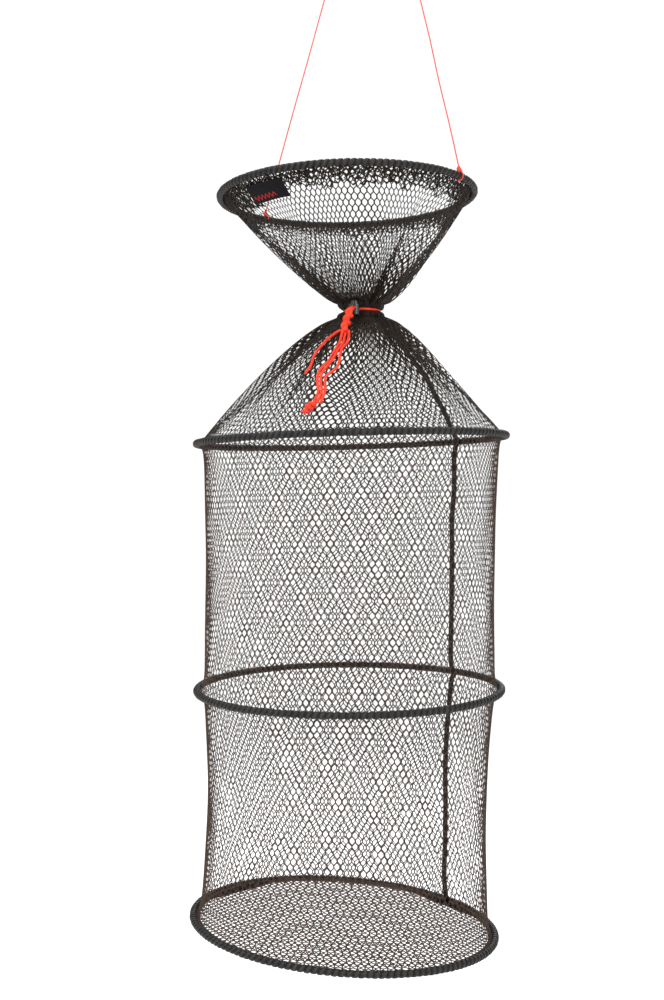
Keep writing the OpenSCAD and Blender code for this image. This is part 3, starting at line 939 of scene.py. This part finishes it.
@dataclass
class Lashing:
    """The twine wound round a hoop, one slanted ridge for each mesh of the netting."""

    hoop: Hoop
    thick_r: float = 3.8 * MM
    ridge_w: float = 5.95 * MM
    slant: float = 1.7 * MM
    crease: float = 0.70
    steps: int = 6
    sides: int = 10
    seed: int = 4

    def turns(self, co: Vector) -> tuple[float, float]:
        """How far round the hoop and round its section a point is, in turns."""
        beside = math.hypot(co.x, co.y) - self.hoop.radius
        return math.atan2(co.y, co.x) / TURN, math.atan2(co.z, beside) / TURN

    def build(self, name: str) -> bpy.types.Object:
        """Makes the wound ring, closed all round."""
        ridges = round(TURN * self.hoop.radius / self.ridge_w)
        bm = bmesh.new()
        ring = bmesh.ops.create_circle(bm, segments=self.sides, radius=self.thick_r)["verts"]
        bmesh.ops.rotate(bm, verts=ring, cent=(0, 0, 0), matrix=Matrix.Rotation(math.pi / 2, 3, "X"))
        bmesh.ops.translate(bm, verts=ring, vec=(self.hoop.radius, 0, 0))
        bmesh.ops.spin(bm, geom=bm.verts[:] + bm.edges[:], cent=(0, 0, 0), axis=(0, 0, 1), dvec=(0, 0, 0),
                       angle=TURN, steps=ridges * self.steps, use_merge=True, use_duplicate=False)
        bmesh.ops.recalc_face_normals(bm, faces=bm.faces[:])
        layer = bm.loops.layers.uv.new("UVMap")
        for face in bm.faces:
            near_major, near_minor = self.turns(face.loops[0].vert.co)
            for loop in face.loops:
                major, minor = self.turns(loop.vert.co)
                major -= round(major - near_major)
                minor -= round(minor - near_minor)
                loop[layer].uv = (major * ridges, minor)
        piece = as_object(bm, name)
        p = read_points(piece.data)
        angle = np.arctan2(p[:, 1], p[:, 0])
        beside = np.hypot(p[:, 0], p[:, 1]) - self.hoop.radius
        around = np.arctan2(p[:, 2], beside)
        place = angle / TURN * ridges
        step = np.round(place * self.steps).astype(int) % (ridges * self.steps)
        across = (step % self.steps) / self.steps
        chance = np.random.default_rng(self.seed)
        fat = chance.uniform(0.93, 1.0, ridges)[step // self.steps]
        lean = chance.uniform(0.75, 1.25, ridges)[step // self.steps]
        lean = np.where(across == 0, 1.0, lean)
        fat = np.where(across == 0, 1.0, fat)
        round_top = self.crease + (1 - self.crease) * np.sqrt(np.clip(1 - (2 * across - 1) ** 2, 0, 1))
        thick = self.thick_r * round_top * fat
        angle = angle + lean * self.slant * np.sin(around) / self.hoop.radius
        points = self.hoop.point(self.hoop.radius + thick * np.cos(around), angle, thick * np.sin(around))
        write_points(piece.data, points)
        return piece


# ---------------------------------------------------------------- sub-assemblies


@dataclass
class Workshop:
    """What every sub-assembly shares: the finishes and the list of pieces made."""

    finishes: Finishes
    pieces: list[str] = field(default_factory=list)

    def finish(self, piece: bpy.types.Object, finish: str, slot: str, *nodes: str,
               body: str | None = None) -> bpy.types.Object:
        """Dresses a piece, hides the CAD nodes that it stands for and sets it on its body.

        Args:
            piece: the new piece.
            finish: the name of its finish.
            slot: the record's material slot; not used.
            *nodes: the CAD nodes that it stands for.
            body: the CAD body that it rides on, or None to set it on none.

        Returns:
            The same object.
        """
        self.finishes.dress(piece, finish)
        if nodes:
            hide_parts(*nodes)
        if body:
            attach(piece, body)
        self.pieces.append(piece.name)
        LOG.info("%s: %d faces on %s", piece.name, len(piece.data.polygons), body or "two bodies")
        return piece


@dataclass
class View:
    """The camera, the lights and the floor."""

    lens: float = 44.28
    sensor: float = 36.0
    place: Vector = field(default_factory=lambda: mm(-14.8, -1211.6, -298.7))
    floor_z: float = -1.02
    floor_half: float = 12.0
    surround: float = 0.55
    backdrop: float = 1.05

    def camera(self) -> None:
        """Sets the camera level, looking along the depth axis."""
        data = bpy.data.cameras.new("camera")
        data.lens, data.sensor_width, data.sensor_fit = self.lens, self.sensor, "AUTO"
        data.clip_start, data.clip_end = 0.05, 60.0
        eye = bpy.data.objects.new("camera", data)
        eye.location = self.place
        eye.rotation_euler = (math.pi / 2, 0.0, 0.0)
        bpy.context.collection.objects.link(eye)
        bpy.context.scene.camera = eye

    def lights(self) -> None:
        """Adds a white surround, three soft boxes and a broad soft sun."""
        world = bpy.data.worlds.new("studio")
        world.use_nodes = True
        g = Graph(world.node_tree)
        ground = world.node_tree.nodes["Background"]
        ground.inputs["Color"].default_value = (1.0, 1.0, 1.0, 1.0)
        seen = g.add("ShaderNodeLightPath").outputs["Is Camera Ray"]
        g.tree.links.new(g.math("MULTIPLY_ADD", seen, self.backdrop - self.surround, self.surround),
                         ground.inputs["Strength"])
        scene = bpy.context.scene
        scene.world = world
        scene.view_settings.view_transform = "Standard"
        target = Vector((0.0, 0.0, -0.38))
        boxes = (("key", "AREA", (-1.3, -1.6, 0.9), 30.0, 1.0), ("fill", "AREA", (1.5, -1.3, 0.1), 12.0, 1.2),
                 ("back", "AREA", (0.5, 1.8, 0.5), 16.0, 1.2), ("sun", "SUN", (-0.4, -0.5, 2.5), 2.0, 0.9))
        for name, kind, place, power, size in boxes:
            data = bpy.data.lights.new(name, kind)
            data.energy = power
            if kind == "SUN":
                data.angle = size
            else:
                data.size = size
            lamp = bpy.data.objects.new(name, data)
            lamp.location = place
            lamp.rotation_euler = (target - Vector(place)).to_track_quat("-Z", "Y").to_euler()
            bpy.context.collection.objects.link(lamp)

    def floor(self, shop: Workshop) -> None:
        """Lays a plain pale floor."""
        bm = bmesh.new()
        bmesh.ops.create_grid(bm, x_segments=8, y_segments=8, size=self.floor_half)
        bmesh.ops.translate(bm, verts=bm.verts[:], vec=(0, 0, self.floor_z))
        floor = as_object(bm, "floor")
        shop.finishes.dress(floor, "floor")


@dataclass
class HangingLines:
    """The two thin red lines, their ties on the mouth hoop and their end loops."""

    shop: Workshop
    mouth: Hoop
    line_r: float = 0.6 * MM
    knot_r: float = 1.9 * MM
    loop_d: float = 16 * MM
    routes: dict[str, tuple] = field(default_factory=lambda: {
        "left": ((-85, 91, 6), (-70, 78, 55), (-55, 65, 104), (-40, 53, 152), (-25, 40, 201),
                 (-10, 27, 250)),
        "right": ((103, -70, 10), (95, -62, 52), (86, -54, 95), (78, -47, 137), (69, -39, 180),
                  (61, -31, 222)),
    })
    angles: dict[str, float] = field(default_factory=lambda: {"left": 133.0, "right": -34.0})

    def build(self) -> None:
        """Makes both lines with all that is on them."""
        for side, points in self.routes.items():
            top = mm(*points[-1])
            loop = self.end_loop(side, top)
            tie = self.tie(side, mm(*points[0]))
            route = smooth_route([mm(*q) for q in points], 6 * MM)
            line = sweep(f"hanging_line_{side}", route, self.line_r, 8)
            self.shop.finish(line, "line", "line", f"line_{side}", body="mouth")
            route_length(route)

    def tie(self, side: str, start: Vector) -> bpy.types.Object:
        """The hitch round the hoop and the knot on top of it."""
        angle = math.radians(self.angles[side])
        turn = np.radians(np.linspace(-150, 150, 26)) + math.pi / 2 - math.pi
        over = 3.4 * MM + self.line_r
        slip = np.linspace(-0.9, 0.9, len(turn)) * MM / self.mouth.radius
        hitch = self.mouth.point(self.mouth.radius + over * np.cos(turn), angle + slip, over * np.sin(turn))
        foot = Vector(self.mouth.point(self.mouth.radius, angle, over))
        lean = (start - foot).normalized()
        knot = WrappedKnot(foot - lean * 0.2 * MM, foot + lean * 3.6 * MM, 1.25 * self.knot_r,
                           1.3 * self.line_r, 3.4)
        parts = [sweep(f"hitch_{side}", hitch, self.line_r, 8), knot.build(f"knot_{side}")]
        short = [foot + lean * 2 * MM, foot + mm(1.8, -1.6, 1.6), foot + mm(2.6, -3.4, -1.6)]
        parts.append(sweep(f"end_{side}", smooth_route(short, 0.8 * MM), self.line_r * 0.9, 8))
        tie = join(f"line_tie_{side}", parts)
        return self.shop.finish(tie, "line", "line", f"line_knot_{side}", body="mouth")

    def end_loop(self, side: str, top: Vector) -> bpy.types.Object:
        """The knotted loop that a line ends in."""
        foot = top + mm(0, 0, 0.3)
        knot_h = 4 * MM
        r = self.loop_d / 2
        centre = foot + Vector((0, 0, knot_h - 1 * MM + r))
        a = np.radians(np.linspace(-84, 264, 40))
        narrow = 1 - 0.28 * np.clip(-np.sin(a), 0, 1)
        around = np.column_stack([r * narrow * np.cos(a), np.zeros_like(a), r * np.sin(a)])
        ring = sweep(f"ring_{side}", np.array(centre)[None] + around, self.line_r, 8)
        knot = WrappedKnot(foot, foot + Vector((0, 0, knot_h)), self.knot_r, self.line_r, 4.0)
        loop = join(f"end_loop_{side}", [ring, knot.build(f"top_{side}")])
        return self.shop.finish(loop, "line", "line", f"line_loop_{side}", body="mouth")


@dataclass
class Drawstring:
    """The red cord round the neck, its knots and its tails."""

    shop: Workshop
    cord_r: float = 1.3 * MM
    neck: Vector = field(default_factory=lambda: middle_of("neck_gather"))
    knot_ends: tuple = ((3, -32, -116), (-3, -56, -138))
    tail_ends: tuple = ((-31, -127, -214), (-38, -130, -220))
    tails: dict[str, tuple] = field(default_factory=lambda: {
        "left": ((-5, -59, -141), (-6, -62, -145), (-8, -70, -153), (-12, -77, -160), (-16, -83, -168),
                 (-19, -88, -173), (-23, -92, -177), (-27, -96, -183), (-28, -103, -191), (-27, -113, -201),
                 (-29, -120, -208), (-31, -123, -211)),
        "middle": ((-2, -58, -142), (-3, -63, -147), (-5, -72, -154), (-9, -78, -160), (-13, -85, -168),
                   (-16, -90, -173), (-20, -94, -178), (-24, -98, -184), (-25, -105, -192), (-24, -114, -201),
                   (-26, -121, -208), (-28, -124, -212)),
        "right": ((1, -58, -140), (1, -64, -146), (-1, -71, -153), (-5, -77, -158), (-7, -83, -164),
                  (-8, -90, -171), (-10, -97, -178), (-15, -101, -183), (-20, -103, -187), (-21, -108, -193),
                  (-21, -115, -201), (-23, -122, -208), (-25, -127, -213)),
        "short": ((-7, -54, -139), (-11, -52, -141), (-18, -57, -147), (-24, -64, -154), (-29, -70, -161),
                  (-32, -76, -167), (-34, -84, -175), (-39, -90, -183)),
    })

    def build(self, blend_from: Sequence[float], blend_to: Sequence[float]) -> None:
        """Makes the cord and its knots.

        Args:
            blend_from: where the shoulder netting starts to leave the neck; not used.
            blend_to: where it has joined the shoulder hoop; not used.
        """
        self.loop()
        start, end = (mm(*q) for q in self.knot_ends)
        knot = WrappedKnot(start, end, 4.8 * MM, 2.3 * MM, 2.8).build("cord_knot")
        self.shop.finish(knot, "drawstring", "drawstring", "drawstring_knot", body="neck")
        start, end = (mm(*q) for q in self.tail_ends)
        end_knot = WrappedKnot(start, end, 4.4 * MM, 1.7 * MM, 2.2).build("tail_end_knot")
        self.shop.finish(end_knot, "drawstring", "drawstring", "tail_knot")
        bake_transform(end_knot)
        for name, points in self.tails.items():
            route = smooth_route([mm(*q) for q in points], 1.6 * MM)
            tail = sweep(f"cord_tail_{name}", route, self.cord_r, 10)
            self.shop.finish(tail, "drawstring", "drawstring", f"tail_{name}")
            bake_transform(tail)
            route_length(route)

    def loop(self) -> None:
        """The loop round the neck, both of whose strands leave through the cord lock."""
        low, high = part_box("cord_lock_body")
        lock = (low + high) / 2
        lock_r = (high.x - low.x) / 2
        neck_low, neck_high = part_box("neck_gather")
        ring_r = (neck_high.x - neck_low.x) / 2 - self.cord_r + 0.2 * MM
        away = Vector((lock.x - self.neck.x, lock.y - self.neck.y, 0))
        lock_u = away.length
        away.normalize()
        beside = Vector((-away.y, away.x, 0))
        half = self.cord_r + 0.1 * MM
        flat = [(lock_u + lock_r + 0.2 * MM, half), (lock_u, half), (lock_u - lock_r, half),
                (ring_r + 0.4 * MM, half + 2 * MM)]
        turns = [math.radians(a) for a in range(18, 360, 18)]
        flat += [(ring_r * math.cos(a), ring_r * math.sin(a)) for a in turns]
        flat += [(u, -w) for u, w in flat[3::-1]]
        points = [self.neck + away * u + beside * w for u, w in flat]
        cord = sweep("neck_drawstring", smooth_route(points, 1.4 * MM), self.cord_r, 10)
        self.shop.finish(cord, "drawstring", "drawstring", "neck_cord", body="neck")


@dataclass
class CordLock:
    """The sprung lock on the drawstring: its own CAD shapes, and the spring inside it."""

    shop: Workshop
    wire_r: float = 0.2 * MM
    coils: float = 2.5
    travel: float = 2 * MM

    def build(self) -> None:
        """Dresses the barrel and the button, and winds the spring."""
        for node in ("cord_lock_body", "cord_lock_button"):
            self.shop.finishes.dress(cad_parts[node], "cord_lock")
        low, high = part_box("cord_lock_spring")
        middle, tall = (low + high) / 2, high.z - low.z
        radius = (high.x - low.x) / 2 - self.wire_r
        share = np.linspace(0, 1, round(self.coils * 24) + 1)
        turn = share * self.coils * TURN
        rise = low.z + self.wire_r + share * (tall - 2 * self.wire_r)
        route = np.column_stack([middle.x + radius * np.cos(turn), middle.y + radius * np.sin(turn), rise])
        coil = sweep("lock_coil_spring", route, self.wire_r, 8)
        self.shop.finish(coil, "spring", "spring", "cord_lock_spring", body="neck")
        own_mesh(coil)


@dataclass
class Hoops:
    """The four lashed hoops."""

    shop: Workshop
    hoops: dict[str, Hoop]
    first_seed: int = 4

    def build(self) -> None:
        """Winds every hoop and dresses what is inside it."""
        for seed, (name, hoop) in enumerate(self.hoops.items(), self.first_seed):
            ring = Lashing(hoop, seed=seed).build(f"{name}_winding")
            self.shop.finish(ring, "lashing", "lashing", f"{name}_lashing", body=name)
            for part in ("wire", "ferrule", "sleeve"):
                self.shop.finishes.dress(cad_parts[f"{name}_{part}"], part)


@dataclass
class Body:
    """All the netting, with its seam, hem, label and bunched neck."""

    shop: Workshop
    hoops: dict[str, Hoop]
    lashing_r: float = 3.8 * MM
    net_gap: float = 0.3 * MM
    held: float = 0.9 * MM
    seam_r: float = 2.8 * MM
    seam_sink: float = 1.2 * MM
    seam_start: float = 0.13
    floor_held: float = 1.2 * MM
    floor_dip: float = 1.0 * MM
    floor_uneven: float = 0.6 * MM
    floor_rim_r: float = 2.0 * MM
    net_share: float = 0.45
    cone_share: float = 0.36
    seam_angle: float = 39.0
    waists: dict[str, float] = field(default_factory=lambda: {"upper": 2 * MM, "lower": 5 * MM})
    wall_twine: dict[str, float] = field(default_factory=lambda: {"upper": 0.92 * MM, "lower": 1.0 * MM})

    def __post_init__(self) -> None:
        """Measures the neck on its CAD solid."""
        low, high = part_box("neck_gather")
        self.neck_centre = (low + high) / 2
        self.neck_r = (high.x - low.x) / 2
        self.neck_h = high.z - low.z
        self.neck_top, self.neck_foot = high.z, low.z
        self.waist_r = self.neck_r - 2.8 * MM
        self.tie = Hoop.level(self.neck_centre, self.waist_r)
        self.funnel = self.cone("mouth", 21, (-127, 0.92), (-86, 0.5), (-50, 0.92), (10, 0.7), (75, 0.75),
                                (150, 0.75))
        self.shoulder = self.cone("shoulder", 47, (-145, 0.92), (-74, 0.6), (-48, 0.92), (20, 0.7),
                                  (75, 0.75), (130, 0.8))

        self.funnel_slope = math.hypot(self.funnel.hoop_r - self.neck_r, abs(self.neck_top))
        self.funnel_knee = 1 - self.neck_h / 2 / self.funnel.high

    def reach(self, name: str) -> float:
        """The radius where netting meets a hoop's winding, just inside its surface."""
        return self.hoops[name].radius - self.lashing_r - self.net_gap

    def edge(self, name: str) -> float:
        """The radius of a section's own edge, which the lashing holds."""
        return self.reach(name) + self.held

    def cone(self, name: str, seed: int, *gathers: tuple[float, float]) -> Cone:
        """The cone of netting between a hoop and the neck, with the angle and strength of its gathers."""
        return Cone(self.hoops[name], self.tie, self.edge(name), self.neck_r, self.waist_r,
                    self.neck_h, seed, gathers=gathers)

    def build(self) -> None:
        """Makes all the soft pieces."""
        self.cone_net("funnel", self.funnel, 25, 6.2 * MM)
        self.cone_net("shoulder", self.shoulder, 31, 6.0 * MM)
        self.wall_net("upper", "shoulder", "middle", 42)
        self.wall_net("lower", "middle", "bottom", 39)
        self.floor_net()
        self.hem()
        self.bunch()
        self.label()

    def blend_ends(self, name: str) -> tuple:
        """The two bodies of a section and where each takes over."""
        at = {hoop: tuple(measured.centre) for hoop, measured in self.hoops.items()}
        x, y, _ = self.neck_centre
        return {
            "funnel": ("mouth", "neck", at["mouth"], (x, y, self.neck_top)),
            "shoulder": ("neck", "shoulder", (x, y, self.neck_foot), at["shoulder"]),
            "upper": ("shoulder", "middle", at["shoulder"], at["middle"]),
            "lower": ("middle", "bottom", at["middle"], at["bottom"]),
        }[name]

    def blend(self, piece: bpy.types.Object) -> None:
        """Bakes a piece's transform into its mesh."""
        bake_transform(piece)

    def cone_net(self, name: str, cone: Cone, rows: int, row_h: float) -> None:
        """Hangs a cone of netting and sews its seam if it has one."""
        netting = Netting(twine=1.1 * MM, joint=3.2 * MM)
        net = netting.tube(f"{name}_netting", rows, row_h)
        netting.hang(net, rows, row_h, cone.surface, cone.widen)
        face_outwards(net)
        self.shop.finish(net, "netting", "netting", f"{name}_net")
        self.blend(net)
        if name == "shoulder":
            self.seam(name, lambda a, t: cone.surface(a, 1 - t, np.full_like(t, -self.seam_sink)),
                      self.seam_start, 1.0, row_h)

    def wall_net(self, name: str, top: str, foot: str, rows: int) -> None:
        """Hangs a tube section of netting and sews its seam."""
        wall = Wall(self.hoops[top], self.hoops[foot], self.edge(top), self.edge(foot),
                    self.waists[name], 60 + rows)
        row_h = abs(self.hoops[top].centre[2] - self.hoops[foot].centre[2]) / rows
        netting = Netting(twine=self.wall_twine[name])
        net = netting.tube(f"{name}_netting", rows, row_h)
        netting.hang(net, rows, row_h, wall.surface)
        face_outwards(net)
        # The walls wear the netting copy with painted backlight.
        self.shop.finish(net, "backlit_netting", "netting", f"{name}_net")
        self.blend(net)
        self.seam(name, lambda a, t: wall.surface(a, t, np.full_like(t, -self.seam_sink)), 0.0, 1.0, row_h)

    def seam(self, name: str, surface: Callable[[Array, Array], Array], first: float, last: float,
             stitch: float) -> None:
        """Sews a seam down a section: a roll of netting, drawn in by a stitch at every row.

        Args:
            name: the section's name.
            surface: gives points from an angle and a share of the way down.
            first: the share where the seam starts.
            last: the share where it ends.
            stitch: the distance between stitches.
        """
        t = np.linspace(first, last, 60)
        length = route_length(surface(np.full_like(t, math.radians(self.seam_angle)), t))
        count = max(8, round(length / stitch)) * 5
        t = np.linspace(first, last, count + 1)
        wander = 0.004 * np.sin(9 * t + len(name)) + 0.003 * np.sin(23 * t)
        route = surface(math.radians(self.seam_angle) + wander, t)
        roll = np.array([0.84, 0.97, 1.0, 0.96, 0.9])[np.arange(count + 1) % 5]
        piece = sweep(f"{name}_seam_roll", route, self.seam_r * roll, 8)
        self.shop.finish(piece, "gather", "netting", f"{name}_seam")
        self.blend(piece)

    def floor_net(self) -> None:
        """Stretches a round piece of netting inside the bottom hoop."""
        netting, hoop = Netting(twine=1.1 * MM), self.hoops["bottom"]
        row_h, half = 5.6 * MM, netting.mesh_w / 2
        radius = self.reach("bottom") + self.floor_held
        rows, columns = 2 * math.ceil(radius / row_h), 2 * math.ceil(radius / half / 2) * 2
        bm = bmesh.new()
        bmesh.ops.create_grid(bm, x_segments=columns, y_segments=rows, size=0.5)
        place = {v: (round((v.co.x + 0.5) * columns), round((v.co.y + 0.5) * rows)) for v in bm.verts}
        netting.open_meshes(bm, place)
        for vert, (column, row) in place.items():
            if vert.is_valid:
                vert.co.x = (column - columns / 2) * half
                vert.co.y = (row - rows / 2) * row_h - netting.stagger(column, row, row_h)
        outside = [f for f in bm.faces if f.calc_center_median().length > radius - 0.4 * netting.mesh_w]
        bmesh.ops.delete(bm, geom=outside, context="FACES")
        for vert in bm.verts:
            if vert.is_boundary and vert.co.length > radius - 1.6 * netting.mesh_w:
                vert.co *= radius / vert.co.length
        net = netting.strands(bm, "floor_netting")
        p = read_points(net.data)
        r = np.minimum(np.hypot(p[:, 0], p[:, 1]), radius + netting.twine)
        a = np.arctan2(p[:, 1], p[:, 0])
        sag = -self.floor_dip * np.cos(np.clip(r / radius, 0, 1) * math.pi / 2)
        sag += self.floor_uneven * np.sin(p[:, 0] * 60) * np.cos(p[:, 1] * 47) * np.clip(1 - r / radius, 0, 1)
        write_points(net.data, hoop.point(r, a, p[:, 2] + sag))
        rim = Lashing(replace(hoop, radius=radius - 1.9 * MM), self.floor_rim_r, netting.mesh_w, crease=0.5,
                      seed=9)
        net = join("floor_netting", [net, rim.build("floor_rim")])
        face_outwards(net)
        # The floor netting wears the copy with painted backlight.
        self.shop.finish(net, "backlit_netting", "netting", "floor_net", body="bottom")

    def hem(self) -> None:
        """Doubles the netting under the mouth hoop, where it is caught up in small folds."""
        rows, row_h = 3, 6.0 * MM
        netting = Netting(twine=1.4 * MM, joint=3.2 * MM)
        deep = rows * row_h / self.funnel_slope * self.funnel_knee
        layers = []
        for layer, inset in enumerate((1.0 * MM, 2.1 * MM, 3.2 * MM)):
            fold = HemFold(self.funnel, layer, inset, deep, math.pi / netting.columns * (layer + 1))
            net = netting.tube(f"hem_layer_{layer}", rows, row_h)
            netting.hang(net, rows, row_h, fold.surface, fold.widen)
            face_outwards(net)
            layers.append(net)
        hem = join("mouth_hem_netting", layers)
        self.shop.finish(hem, "netting", "netting", "mouth_hem")
        self.blend(hem)

    def bunch(self) -> None:
        """Folds the gathered netting inside the drawstring into pleats."""
        pleats, steps = 26, 6
        levels = np.linspace(-1, 1, 19)
        caps = (0.7, 0.42, 0.18)
        rings = [(s, -1.0, 1 - s) for s in caps[::-1]] + [(1.0, z, 0.0) for z in levels]
        rings += [(s, 1.0, s - 1) for s in caps]
        bm, first, last = stacked_rings(pleats * steps, len(rings))
        cap_ends(bm, first, last)
        piece = as_object(bm, "neck_bunch")
        p = read_points(piece.data)
        ring = np.array(rings)[np.round(p[:, 2]).astype(int)]
        angle = np.arctan2(p[:, 1], p[:, 0])
        half = self.neck_h / 2
        z = ring[:, 1] * half
        loose = 1 - np.exp(-(np.abs(z) / (3.2 * MM)) ** 2)
        mean = (self.waist_r - 1.5 * MM) + (self.neck_r - 1.2 * MM - self.waist_r) * loose
        fold = np.abs(np.sin(angle * pleats / 2 + 0.5 * np.sin(angle * 3))) - 0.5
        radius = ring[:, 0] * (mean + (0.5 * MM + 3.0 * MM * loose) * fold)
        z = z + ring[:, 2] * 9 * MM * (1 + 0.3 * fold)
        write_points(piece.data, self.tie.point(radius, angle, z))
        face_outwards(piece)
        self.shop.finish(piece, "gather", "netting", "neck_gather", body="neck")

    def label(self) -> None:
        """Sews the woven label to the outside of the funnel, following its curve."""
        width, high, thick, proud = 46 * MM, 21 * MM, 0.6 * MM, 1.6 * MM
        angle, top_share = math.radians(-133.0), 0.06
        bm = bmesh.new()
        bmesh.ops.create_grid(bm, x_segments=24, y_segments=12, size=0.5)
        layer = bm.loops.layers.uv.new("UVMap")
        for face in bm.faces:
            for loop in face.loops:
                loop[layer].uv = (loop.vert.co.x + 0.5, loop.vert.co.y + 0.5)
        piece = as_object(bm, "woven_label")
        p = read_points(piece.data)
        share = (top_share + high / self.funnel_slope * (p[:, 1] + 0.5)) * self.funnel_knee
        radius = self.funnel.radius(share)
        curl = 0.8 * MM * np.sin(p[:, 0] * 5.0) * (p[:, 1] + 0.5)
        a = angle + p[:, 0] * width / radius
        t = share[:, None]
        r = radius + proud + curl
        write_points(piece.data, (1 - t) * self.funnel.hoop.point(r, a) + t * self.tie.point(r, a))
        wall = piece.modifiers.new("thickness", "SOLIDIFY")
        wall.thickness, wall.offset = thick, 0.0
        soft = piece.modifiers.new("edge", "BEVEL")
        soft.width, soft.segments = 0.12 * MM, 2
        self.shop.finish(piece, "label", "label", "label")
        self.blend(piece)


def main() -> None:
    """Builds the stage, then every sub-assembly in order."""
    logging.basicConfig(level=logging.INFO, format="%(name)s %(message)s")
    view = View()
    view.camera()
    shop = Workshop(Finishes())
    hoops = {name: Hoop.from_wire(f"{name}_wire") for name in HOOP_NAMES}
    HangingLines(shop, hoops["mouth"]).build()
    body = Body(shop, hoops)
    _, _, neck_end, shoulder_end = body.blend_ends("shoulder")
    Drawstring(shop).build(neck_end, shoulder_end)
    CordLock(shop).build()
    Hoops(shop, hoops).build()
    body.build()
    view.lights()
    view.floor(shop)
    LOG.info("%d new pieces", len(shop.pieces))


if __name__ == "__main__":
    main()
